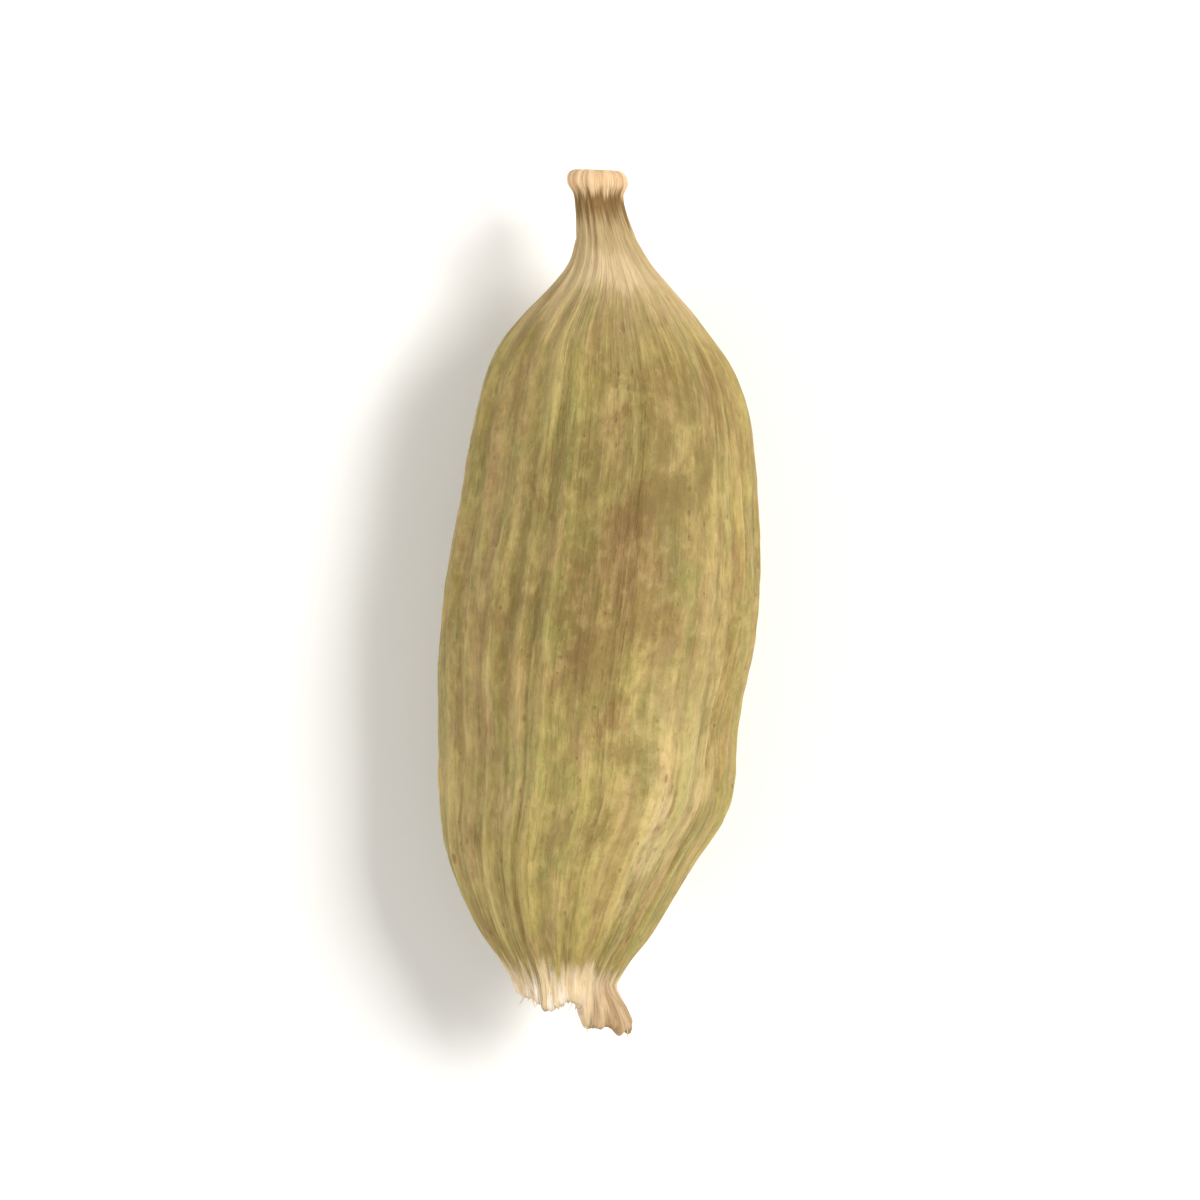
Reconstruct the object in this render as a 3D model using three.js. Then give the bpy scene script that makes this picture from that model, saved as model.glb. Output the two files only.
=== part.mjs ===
// A dried green cardamom pod lying on its side, at its real size, in millimetres.
//
// +X runs from the stalk end to the beak and +Z is up. The origin is on the surface that the pod
// rests on, under the middle of its box. The pod grew as one piece and is one closed solid: a softly
// three-sided spindle with eight ribs to each side, a torn hollow collar where the stalk broke off,
// and a thin beak with a flared tip. A small flat spot on its belly is what it lies on.

import * as THREE from "three";
import { mergeVertices } from "three/addons/utils/BufferGeometryUtils.js";

// Driving dimensions
const LENGTH = 17.3; // from the collar's rim to the beak's tip, without the torn flake
const BELLY_RADIUS = 3.14; // at the widest place, between the ribs' crests and valleys
const HEIGHT_TO_WIDTH = 0.95; // the pod is a little flatter than it is wide
const CORNER_RELIEF = 0.085; // how far the three corners stand out, as a share of the radius
const RIB_HEIGHT = 0.13; // a full rib's crest over its valley, at the belly
const MEAN_RELIEF = RIB_HEIGHT / 3; // what the ribs add to the radius on average
const RIB_TAPER = 0.7; // how the ribs lose height with the radius, as a power of it
const CREST_SHARPNESS = 1.4; // how narrow the crests are, as a power of a plain wave
const END_LIFT = 0.3; // how far each end curves up from the belly
const TWIST = 7; // the ribs' turn about the pod from end to end, in degrees
const FLAT_DEPTH = 0.16; // how much of the belly the flat spot takes away

// Fineness: four steps to a rib, and rings along the husk
const SIDES = 3;
const RIBS_PER_SIDE = 8;
const RIBS = SIDES * RIBS_PER_SIDE;
const STEPS_PER_RIB = 4;
const HUSK_RINGS = 38;

// The outline, as [distance from the stalk end, radius]
const PIT = [[0.78, 0], [0.72, 0.3], [0.42, 0.5], [0.12, 0.62]];
const RIM = [[0, 0.78], [0.05, 0.95]];
const HUSK = [
  [0.28, 1.02], [0.6, 1.05], [1.1, 1.33], [1.6, 1.7], [2.3, 2.09], [3.2, 2.51], [4.3, 2.88], [5.8, 2.99],
  [7.4, 3.13], [9, BELLY_RADIUS], [10.6, 2.98], [12, 2.83], [12.9, 2.63], [13.6, 2.3], [14.3, 1.76],
  [14.9, 1.22], [15.4, 0.83], [15.9, 0.6],
];
const BEAK = [[16.5, 0.5], [16.8, 0.5], [17, 0.6], [17.2, 0.58], [LENGTH, 0.42], [17.22, 0.16], [17.2, 0]];

// The pod's uneven bend, as [distance from the stalk end, how far its middle stands to -Y]
const SPINE = [
  [0, 0], [1.6, -0.06], [3, 0.02], [4.5, 0.3], [6.5, 0.35], [8.5, 0.49], [10.5, 0.55], [12.5, 0.57],
  [14, 0.43], [15, 0.38], [15.8, 0.22], [16.6, 0.03], [LENGTH, -0.06],
];

// The three corners, as turns about the pod from its top towards -Y, in degrees
const CORNERS = [14, 128, 244];
const FULL_TURN = 360;
const RADIANS = Math.PI / 180;

// How uneven the ribs are: their places, their own heights, and how the heights come and go
const RIB_JITTER = 2.6;
const LOWEST_RIB = 0.55;
const WAVE_SHARE = 0.22;
const SLOWEST_WAVE = 0.5;
const FASTEST_WAVE = 1;

// Shallow hollows where the husk dried in between the seeds
const HOLLOWS = [
  { at: 9.9, turn: -16, length: 2.6, width: 1.3, depth: 0.08 },
  { at: 4.4, turn: -62, length: 2.0, width: 1.2, depth: 0.1 },
  { at: 12.2, turn: 62, length: 1.5, width: 1.0, depth: 0.1 },
  { at: 5.8, turn: 76, length: 1.8, width: 1.0, depth: 0.09 },
  { at: 11.3, turn: 232, length: 2.0, width: 1.2, depth: 0.1 },
];

// The torn rim of the collar, as [turn, how far it reaches back past the stalk end]. One wide flake
// reaches back past the rest of the rim and bends outward.
const TEAR = [
  [-180, -0.24], [-150, -0.22], [-120, -0.32], [-90, -0.34], [-62, -0.32], [-42, -0.2], [-24, -0.03],
  [-8, -0.12], [6, -0.24], [16, -0.2], [27, 0.2], [45, 0.27], [70, 0.3], [90, 0.12], [112, -0.12],
  [150, -0.22], [180, -0.24],
];
const FLAKE = { turn: 70, width: 30, flare: 0.6 };
const COLLAR_LENGTH = 0.6;

// Where the belly lies on the surface, and how much smoother the ribs are there
const REST = { at: 8, turn: 180, length: 3.2, width: 30, smooth: 0.9 };

/** A fixed number from 0 to 1 for each pair of whole numbers, in place of a random draw. */
function draw(index, salt) {
  const value = Math.sin(index * 12.9898 + salt * 78.233) * 43758.5453;
  return value - Math.floor(value);
}

/** A smooth hump, 1 at the middle and near 0 past its width. */
function hump(offset, width) {
  return Math.exp(-((offset / width) ** 2));
}

/** The shortest way round from one turn to another, in degrees. */
function turnBetween(a, b) {
  return ((((a - b) % FULL_TURN) + FULL_TURN * 1.5) % FULL_TURN) - FULL_TURN / 2;
}

/** A smooth curve through stations of [place, value], read at one place. */
function between(stations, at) {
  const last = stations.length - 1;
  const next = Math.max(1, stations.findIndex(([place], index) => place >= at || index === last));
  const slope = (index) => {
    const [before, after] = [stations[Math.max(0, index - 1)], stations[Math.min(last, index + 1)]];
    return (after[1] - before[1]) / (after[0] - before[0]);
  };
  const [[start, from], [end, to]] = [stations[next - 1], stations[next]];
  const span = end - start;
  const share = THREE.MathUtils.clamp((at - start) / span, 0, 1);
  const rest = 1 - share;
  const straight = from * rest * rest * (1 + 2 * share) + to * share * share * (1 + 2 * rest);
  return straight + share * rest * span * (slope(next - 1) * rest - slope(next) * share);
}

/** The rings of the outline, from the floor of the collar's pit to the beak's tip. */
function outlineRings() {
  const points = HUSK.map(([at, radius]) => new THREE.Vector3(at, radius, 0));
  const curve = new THREE.CatmullRomCurve3(points, false, "centripetal");
  const husk = curve.getSpacedPoints(HUSK_RINGS - 1).map((p) => [p.x, p.y]);
  return [
    ...PIT.map(([at, radius]) => ({ at, radius, inPit: true })),
    ...[...RIM, ...husk, ...BEAK].map(([at, radius]) => ({ at, radius, inPit: false })),
  ];
}

/** The turn of a place among the ribs, where 0, 8 and 16 are the corners, in degrees. */
function ribTurn(rib) {
  const side = Math.floor(rib / RIBS_PER_SIDE) % SIDES;
  const next = side + 1 < SIDES ? CORNERS[side + 1] : CORNERS[0] + FULL_TURN;
  const share = (rib % RIBS_PER_SIDE) / RIBS_PER_SIDE;
  const before = Math.floor(rib);
  const blend = (1 - Math.cos(Math.PI * (rib - before))) / 2;
  const jitter = (1 - blend) * draw(before % RIBS, 1) + blend * draw((before + 1) % RIBS, 1) - 0.5;
  return CORNERS[side] + (next - CORNERS[side]) * share + 2 * RIB_JITTER * jitter;
}

/** How high one rib stands at a distance along the pod, as a share of RIB_HEIGHT. */
function ribStrength(index, at) {
  const own = index % RIBS_PER_SIDE === 0 ? 1 : THREE.MathUtils.lerp(LOWEST_RIB, 1, draw(index, 2));
  const rate = THREE.MathUtils.lerp(SLOWEST_WAVE, FASTEST_WAVE, draw(index, 3));
  const wave = Math.sin(at * rate + 2 * Math.PI * draw(index, 4));
  return own * (1 - WAVE_SHARE + WAVE_SHARE * wave);
}

/** The height of the ribs over their valleys at a place, in millimetres. */
function ribRelief(rib, at, slim) {
  const nearest = Math.round(rib);
  const crest = ((1 + Math.cos(2 * Math.PI * (rib - nearest))) / 2) ** CREST_SHARPNESS;
  return RIB_HEIGHT * slim ** RIB_TAPER * ribStrength(nearest % RIBS, at) * crest;
}

/** How deep the dried hollows are at a place, in millimetres. */
function hollowDepth(at, turn, radius) {
  let depth = 0;
  for (const hollow of HOLLOWS) {
    const across = turnBetween(turn, hollow.turn) * RADIANS * radius;
    depth += hollow.depth * hump(at - hollow.at, hollow.length) * hump(across, hollow.width);
  }
  return depth;
}

/** How far the torn rim reaches back, and bends outward, at a turn, in millimetres. */
function rimTear(at, turn) {
  const nearRim = Math.max(0, 1 - at / COLLAR_LENGTH);
  const flake = hump(turnBetween(turn, FLAKE.turn), FLAKE.width);
  return { back: nearRim * between(TEAR, turnBetween(turn, 0)), out: nearRim * FLAKE.flare * flake };
}

/** One point of the surface: a ring of the outline, and a place among the ribs. */
function surfacePoint(ring, rib) {
  const { at, radius } = ring;
  const along = at / LENGTH;
  const turn = ribTurn(rib) + (along - 0.5) * TWIST;
  const tear = rimTear(at, turn);
  let reach = radius + (radius > 0 ? tear.out : 0);
  if (!ring.inPit) {
    const slim = radius / BELLY_RADIUS;
    const rest = hump(at - REST.at, REST.length) * hump(turnBetween(turn, REST.turn), REST.width);
    reach += CORNER_RELIEF * radius * Math.sqrt(slim) * Math.cos((2 * Math.PI * rib) / RIBS_PER_SIDE);
    reach += ribRelief(rib, at, slim) * (1 - REST.smooth * rest) - MEAN_RELIEF * slim;
    reach -= hollowDepth(at, turn, radius);
  }
  const bend = between(SPINE, at);
  const lift = END_LIFT * (2 * along - 1) ** 2;
  return new THREE.Vector3(
    at - tear.back,
    -reach * Math.sin(turn * RADIANS) - bend,
    HEIGHT_TO_WIDTH * reach * Math.cos(turn * RADIANS) + lift,
  );
}

/** Presses the belly flat, and puts the origin under the middle of the pod's box. */
function settle(points) {
  const box = new THREE.Box3().setFromPoints(points);
  const floor = box.min.z + FLAT_DEPTH;
  const middle = box.getCenter(new THREE.Vector3());
  for (const point of points) {
    point.z = Math.max(point.z, floor) - floor;
    point.x -= middle.x;
    point.y -= middle.y;
  }
}

/** The pod's closed surface: a lathe shape whose points are moved onto the ribbed husk. */
function podGeometry() {
  const rings = outlineRings();
  const steps = RIBS * STEPS_PER_RIB;
  const profile = rings.map((ring) => new THREE.Vector2(ring.radius, ring.at));
  const geometry = new THREE.LatheGeometry(profile, steps);
  const points = [];
  for (let step = 0; step <= steps; step++) {
    for (const ring of rings) {
      points.push(surfacePoint(ring, (step % steps) / STEPS_PER_RIB));
    }
  }
  settle(points);
  geometry.setFromPoints(points);
  geometry.deleteAttribute("normal");
  geometry.deleteAttribute("uv");
  const closed = mergeVertices(geometry);
  closed.computeVertexNormals();
  return closed;
}

const olive = new THREE.MeshStandardMaterial({ color: 0xad955d, roughness: 0.72, metalness: 0 });

const pod = new THREE.Mesh(podGeometry(), olive);
pod.name = "pod";

const cardamom = new THREE.Group();
cardamom.add(pod);

export default cardamom;
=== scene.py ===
"""A dried green cardamom pod on its side: ribbed husk, torn stalk collar, beak, and the studio."""

import logging
import math
from collections.abc import Mapping, Sequence
from dataclasses import dataclass
from enum import Enum, IntEnum
from functools import cached_property

import bmesh
import bpy
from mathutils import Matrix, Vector, noise


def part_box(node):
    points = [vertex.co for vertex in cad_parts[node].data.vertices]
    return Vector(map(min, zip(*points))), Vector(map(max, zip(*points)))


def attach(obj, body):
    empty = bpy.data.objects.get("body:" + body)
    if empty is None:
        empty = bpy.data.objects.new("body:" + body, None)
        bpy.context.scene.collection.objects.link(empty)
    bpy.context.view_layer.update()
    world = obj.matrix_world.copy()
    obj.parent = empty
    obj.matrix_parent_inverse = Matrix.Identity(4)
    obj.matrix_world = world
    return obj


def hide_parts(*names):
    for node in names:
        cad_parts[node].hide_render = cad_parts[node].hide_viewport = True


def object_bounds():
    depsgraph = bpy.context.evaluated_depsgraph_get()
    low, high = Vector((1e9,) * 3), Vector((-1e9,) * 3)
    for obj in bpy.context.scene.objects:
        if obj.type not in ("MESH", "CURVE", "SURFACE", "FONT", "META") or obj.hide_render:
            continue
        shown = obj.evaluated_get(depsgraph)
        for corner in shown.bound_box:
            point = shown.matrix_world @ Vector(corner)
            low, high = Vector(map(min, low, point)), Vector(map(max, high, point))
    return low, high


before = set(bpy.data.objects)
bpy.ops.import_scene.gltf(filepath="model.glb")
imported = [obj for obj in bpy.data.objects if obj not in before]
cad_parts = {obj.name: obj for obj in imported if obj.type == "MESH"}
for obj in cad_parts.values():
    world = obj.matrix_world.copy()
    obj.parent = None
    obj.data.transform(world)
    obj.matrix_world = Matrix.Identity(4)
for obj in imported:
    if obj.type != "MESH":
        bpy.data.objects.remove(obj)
CAD_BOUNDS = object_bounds()

LOG = logging.getLogger("cardamom")

MM = 0.001
FULL_TURN = 360
DRAW_INDEX_STEP = 12.9898
DRAW_SERIES_STEP = 78.233
DRAW_SPREAD = 43758.5453
BODY = "root"
CAD_NODE = "pod"

FIBRE_ATTRIBUTE = "fibre"
CREST_ATTRIBUTE = "crest"
VEIN_ATTRIBUTE = "vein"
PIT_ATTRIBUTE = "pit"

Colour = tuple[float, float, float, float]
Station = tuple[float, float]
Socket = bpy.types.NodeSocket
Fed = Socket | float | Sequence[float]


class Section(Enum):
    """The stretch of the outline that a ring belongs to, from the stalk end to the beak."""

    PIT = "pit"
    RIM = "rim"
    HUSK = "husk"
    BEAK = "beak"


@dataclass(frozen=True)
class Ring:
    """One ring of the outline: its distance from the stalk end, its radius and its stretch."""

    at: float
    radius: float
    section: Section


class Draw(IntEnum):
    """What a fixed number is drawn for, so that no two series of them are alike."""

    RIB_PLACE = 1
    RIB_HEIGHT = 2
    RIB_RATE = 3
    RIB_START = 4
    FIBRE_PLACE = 5
    FIBRE_LENGTH = 6
    FIBRE_THICKNESS = 7
    FIBRE_FLARE = 8
    FIBRE_SWING = 9


def draw(index: int, what: Draw) -> float:
    """Return a fixed number from 0 to 1, in place of a random draw."""
    value = math.sin(index * DRAW_INDEX_STEP + what * DRAW_SERIES_STEP) * DRAW_SPREAD
    return value - math.floor(value)


def hump(offset: float, width: float) -> float:
    """Return a smooth hump, 1 at the middle and near 0 past its width."""
    return math.exp(-((offset / width) ** 2))


def turn_between(a: float, b: float) -> float:
    """Return the shortest way round from one turn to another, in degrees."""
    return (a - b + FULL_TURN / 2) % FULL_TURN - FULL_TURN / 2


def between(stations: Sequence[Station], at: float) -> float:
    """Read a smooth curve through stations at one place.

    Args:
        stations: Each a place and the curve's value there, in order.
        at: The place to read it at.

    Returns:
        The curve's value.
    """
    last = len(stations) - 1
    after = next((index for index in range(1, last) if stations[index][0] >= at), last)

    def slope(index: int) -> float:
        """Return the curve's slope at a station."""
        (start, low), (end, high) = stations[max(0, index - 1)], stations[min(last, index + 1)]
        return (high - low) / (end - start)

    (start, low), (end, high) = stations[after - 1], stations[after]
    span = end - start
    share = min(1.0, max(0.0, (at - start) / span))
    rest = 1 - share
    straight = low * rest * rest * (1 + 2 * share) + high * share * share * (1 + 2 * rest)
    return straight + share * rest * span * (slope(after - 1) * rest - slope(after) * share)


def end_slopes(before: Vector, start: Vector, end: Vector, after: Vector) -> tuple[Vector, Vector]:
    """Return a centripetal curve's slopes at both ends of one of its spans.

    Args:
        before: The point before the span.
        start: The span's first point.
        end: The span's last point.
        after: The point after the span.

    Returns:
        The slope at the start and the slope at the end.
    """
    pairs = ((before, start), (start, end), (end, after))
    lead_gap, gap, trail_gap = (math.sqrt((b - a).length) for a, b in pairs)
    straight = (end - start) / gap
    lead = (start - before) / lead_gap - (end - before) / (lead_gap + gap) + straight
    trail = straight - (after - start) / (gap + trail_gap) + (after - end) / trail_gap
    return lead * gap, trail * gap


def spread_evenly(path: Sequence[Vector], count: int) -> list[Station]:
    """Place stations evenly along a path, both of its ends included.

    Args:
        path: The path's points.
        count: How many stations to place.

    Returns:
        The stations.
    """
    lengths = [0.0]
    for a, b in zip(path, path[1:]):
        lengths.append(lengths[-1] + (b - a).length)
    placed: list[Station] = []
    segment = 0
    for index in range(count):
        target = lengths[-1] * index / (count - 1)
        while segment < len(path) - 2 and lengths[segment + 1] < target:
            segment += 1
        share = (target - lengths[segment]) / (lengths[segment + 1] - lengths[segment])
        spot = path[segment].lerp(path[segment + 1], min(1.0, max(0.0, share)))
        placed.append((spot.x, spot.y))
    return placed


def spline(points: Sequence[Station], count: int, steps: int = 40) -> list[Station]:
    """Run a centripetal Catmull-Rom curve through points and place rings evenly along it.

    Args:
        points: The stations that the curve passes through.
        count: How many rings to place, both ends included.
        steps: How many short straight steps stand for the curve between two points.

    Returns:
        The rings' stations.
    """
    knots = [Vector(p) for p in points]
    knots = [2 * knots[0] - knots[1], *knots, 2 * knots[-1] - knots[-2]]
    path: list[Vector] = [knots[1]]
    for before, start, end, after in zip(knots, knots[1:], knots[2:], knots[3:]):
        lead, trail = end_slopes(before, start, end, after)
        square = 3 * end - 3 * start - 2 * lead - trail
        cube = 2 * start - 2 * end + lead + trail
        for step in range(1, steps + 1):
            t = step / steps
            path.append(start + lead * t + (cube * t + square) * t * t)
    return spread_evenly(path, count)


@dataclass(frozen=True)
class Outline:
    """The pod's outline as [distance from the stalk end, radius] in millimetres, by stretch.

    The spine is how far the pod's middle stands to -Y, and counts are the rings in each stretch.
    """

    length: float = 17.3
    belly_radius: float = 3.14
    pit: tuple[Station, ...] = ((0.78, 0.0), (0.72, 0.3), (0.42, 0.5), (0.12, 0.62))
    rim: tuple[Station, ...] = ((0.12, 0.62), (0.0, 0.78), (0.05, 0.95), (0.28, 1.02))
    husk: tuple[Station, ...] = (
        (0.28, 1.02), (0.6, 1.05), (1.1, 1.33), (1.6, 1.7), (2.3, 2.09), (3.2, 2.51), (4.3, 2.88),
        (5.8, 2.99), (7.4, 3.13), (9.0, 3.14), (10.6, 2.98), (12.0, 2.83), (12.9, 2.63),
        (13.6, 2.3), (14.3, 1.76), (14.9, 1.22), (15.4, 0.83), (15.9, 0.6),
    )
    beak: tuple[Station, ...] = (
        (15.9, 0.6), (16.5, 0.5), (16.8, 0.5), (17.0, 0.6), (17.2, 0.58), (17.3, 0.42),
        (17.22, 0.16), (17.2, 0.0),
    )
    spine: tuple[Station, ...] = (
        (0.0, 0.0), (1.6, -0.06), (3.0, 0.02), (4.5, 0.3), (6.5, 0.35), (8.5, 0.49), (10.5, 0.55),
        (12.5, 0.57), (14.0, 0.43), (15.0, 0.38), (15.8, 0.22), (16.6, 0.03), (17.3, -0.06),
    )
    counts: tuple[int, ...] = (11, 11, 200, 36)

    def rings(self) -> list[Ring]:
        """Return the fine rings of the whole outline, from the pit's floor to the beak's tip."""
        stretches = zip(Section, (self.pit, self.rim, self.husk, self.beak), self.counts)
        rings: list[Ring] = []
        for section, stations, count in stretches:
            placed = spline(stations, count)
            rings += [Ring(at, max(0.0, radius), section) for at, radius in placed[bool(rings):]]
        return rings


@dataclass(frozen=True)
class Ribs:
    """The ribs that run from end to end, eight to each side between the pod's three corners.

    A place among them is a number: whole numbers are crests, and 0, 8 and 16 are the corners.
    Turns are in degrees about the pod, from its top towards -Y, and the height in millimetres.
    """

    per_side: int = 8
    corners: tuple[float, ...] = (14, 128, 244)
    jitter: float = 2.6
    height: float = 0.13
    mean_crest: float = 1 / 3
    taper: float = 0.7
    sharpness: float = 1.4
    lowest: float = 0.55
    wave_share: float = 0.22
    slowest_wave: float = 0.5
    fastest_wave: float = 1.0

    @property
    def count(self) -> int:
        """Return how many ribs go round the pod."""
        return self.per_side * len(self.corners)

    @cached_property
    def waves(self) -> list[tuple[float, float, float]]:
        """Return each rib's own height, how fast it comes and goes, and where that starts."""
        waves: list[tuple[float, float, float]] = []
        for index in range(self.count):
            at_corner = index % self.per_side == 0
            height = 1.0 if at_corner else draw(index, Draw.RIB_HEIGHT)
            own = self.lowest + (1 - self.lowest) * height
            quickness = draw(index, Draw.RIB_RATE)
            rate = self.slowest_wave + (self.fastest_wave - self.slowest_wave) * quickness
            waves.append((own, rate, 2 * math.pi * draw(index, Draw.RIB_START)))
        return waves

    def turn(self, rib: float) -> float:
        """Work out the turn of a place among the ribs, at the middle of the pod's length.

        Args:
            rib: The place, where whole numbers are crests.

        Returns:
            The turn, in degrees.
        """
        side = int(rib // self.per_side) % len(self.corners)
        start = self.corners[side]
        end = (*self.corners, self.corners[0] + FULL_TURN)[side + 1]
        share = (rib % self.per_side) / self.per_side
        before = math.floor(rib)
        blend = (1 - math.cos(math.pi * (rib - before))) / 2
        low, high = (draw((before + step) % self.count, Draw.RIB_PLACE) for step in (0, 1))
        moved = (1 - blend) * low + blend * high
        return start + (end - start) * share + 2 * self.jitter * (moved - 0.5)

    def crest(self, rib: float, at: float) -> float:
        """Work out how near a place is to the crest of its rib.

        Args:
            rib: The place among the ribs.
            at: Its distance from the stalk end.

        Returns:
            How near, from 0 in a valley to the rib's own height as a share of a full rib's.
        """
        nearest = round(rib)
        own, rate, start = self.waves[nearest % self.count]
        strength = own * (1 - self.wave_share + self.wave_share * math.sin(at * rate + start))
        return strength * ((1 + math.cos(2 * math.pi * (rib - nearest))) / 2) ** self.sharpness


@dataclass(frozen=True)
class Ripple:
    """Smooth unevenness over the unrolled husk: how fine it is around and along the pod."""

    across: float
    along: float = 0.0
    start: float = 0.0

    def at(self, fibre: Vector) -> float:
        """Return its value at a place, from about -1 to 1."""
        return noise.noise(Vector((
            fibre.x * self.across, fibre.y * self.across, fibre.z * self.along + self.start,
        )))


@dataclass(frozen=True)
class TornRim:
    """The collar's torn rim, as [turn, how far it reaches back past the stalk end], in millimetres.

    One wide flake reaches back past the rest and bends outward. The edge is frayed by two ripples.
    """

    tear: tuple[Station, ...] = (
        (-180.0, -0.24), (-150.0, -0.22), (-120.0, -0.32), (-90.0, -0.34), (-62.0, -0.32),
        (-42.0, -0.2), (-24.0, -0.03), (-8.0, -0.12), (6.0, -0.24), (16.0, -0.2), (27.0, 0.2),
        (45.0, 0.27), (70.0, 0.3), (90.0, 0.12), (112.0, -0.12), (150.0, -0.22), (180.0, -0.24),
    )
    collar_length: float = 0.6
    flake_turn: float = 70.0
    flake_width: float = 30.0
    flake_flare: float = 0.6
    fray: float = 0.08
    flake_fray: float = 0.5
    shred_share: float = 0.8
    rags: Ripple = Ripple(across=7, start=11)
    shreds: Ripple = Ripple(across=19, start=23)

    def reach(self, at: float, turn: float) -> tuple[float, float]:
        """Work out how far the rim reaches back, and how far it bends outward.

        Args:
            at: The distance from the stalk end.
            turn: The turn about the pod, in degrees.

        Returns:
            How far back, and how far outward.
        """
        near_rim = max(0.0, 1 - at / self.collar_length)
        radians = math.radians(turn)
        around = Vector((math.cos(radians), math.sin(radians), 0))
        flake = hump(turn_between(turn, self.flake_turn), self.flake_width)
        frayed = self.rags.at(around) + self.shred_share * self.shreds.at(around)
        frayed *= self.fray * (1 + self.flake_fray * flake) * near_rim**3
        back = near_rim * between(self.tear, turn_between(turn, 0)) + frayed
        return back, near_rim * self.flake_flare * flake


@dataclass(frozen=True)
class SkinRelief:
    """The dried skin's thin veins, fibres, cross wrinkles and soft lumps, in millimetres.

    The veins and the fibres get lower with the pod's radius, as a power of it, and the wrinkles
    are weaker on the ribs' crests.
    """

    vein_height: float = 0.042
    vein_sharpness: float = 6.5
    vein_taper: float = 0.6
    fibre_height: float = 0.03
    fibre_taper: float = 0.5
    fine_share: float = 0.5
    wrinkle_height: float = 0.032
    crest_wrinkles: float = 0.35
    lump_height: float = 0.05
    vein_path: Ripple = Ripple(across=1.8, along=0.13)
    coarse_fibres: Ripple = Ripple(across=2.6, along=0.16)
    fine_fibres: Ripple = Ripple(across=5.5, along=0.4, start=31)
    wrinkles: Ripple = Ripple(across=1.1, along=2.6, start=57)
    lumps: Ripple = Ripple(across=0.45, along=0.5, start=83)

    def vein(self, fibre: Vector) -> float:
        """Return how near a place is to one of the thin veins that wander along, from 0."""
        return max(0.0, 1 - self.vein_sharpness * abs(self.vein_path.at(fibre)))

    def height(self, fibre: Vector, slim: float, crest: float, vein: float) -> float:
        """Return how high the skin stands over the plain husk at a place.

        Args:
            fibre: The place on an unrolled pod that keeps to the ribs.
            slim: The radius here as a share of the belly's.
            crest: How near the place is to a rib's crest.
            vein: How near it is to a thin vein.

        Returns:
            The height.
        """
        fibres = self.coarse_fibres.at(fibre) + self.fine_share * self.fine_fibres.at(fibre)
        valley = 1 - min(1.0, crest)
        wrinkled = self.crest_wrinkles + (1 - self.crest_wrinkles) * valley
        return (
            self.vein_height * slim**self.vein_taper * vein
            + self.fibre_height * slim**self.fibre_taper * fibres
            + self.wrinkle_height * slim * self.wrinkles.at(fibre) * wrinkled
            + self.lump_height * slim * self.lumps.at(fibre)
        )


@dataclass(frozen=True)
class Hollow:
    """A shallow hollow where the husk dried in between the seeds, in millimetres and degrees."""

    at: float
    turn: float
    length: float
    width: float
    depth: float

    def depth_at(self, at: float, turn: float, radius: float) -> float:
        """Return how deep the hollow is at a place, in millimetres."""
        across = math.radians(turn_between(turn, self.turn)) * radius
        return self.depth * hump(at - self.at, self.length) * hump(across, self.width)


@dataclass(frozen=True)
class RestSpot:
    """Where the belly is pressed flat, how deep, and how much smoother the ribs are there."""

    at: float = 8.0
    turn: float = 180.0
    length: float = 3.2
    width: float = 30.0
    smooth: float = 0.9
    depth: float = 0.16

    def smoothing(self, at: float, turn: float) -> float:
        """Return the share that is taken off the ribs at a place."""
        across = turn_between(turn, self.turn)
        return self.smooth * hump(at - self.at, self.length) * hump(across, self.width)


@dataclass(frozen=True)
class SurfaceSpot:
    """One point of the pod's surface and what its finish needs to know of it."""

    place: Vector
    fibre: Vector
    crest: float
    vein: float
    pit: float


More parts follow.
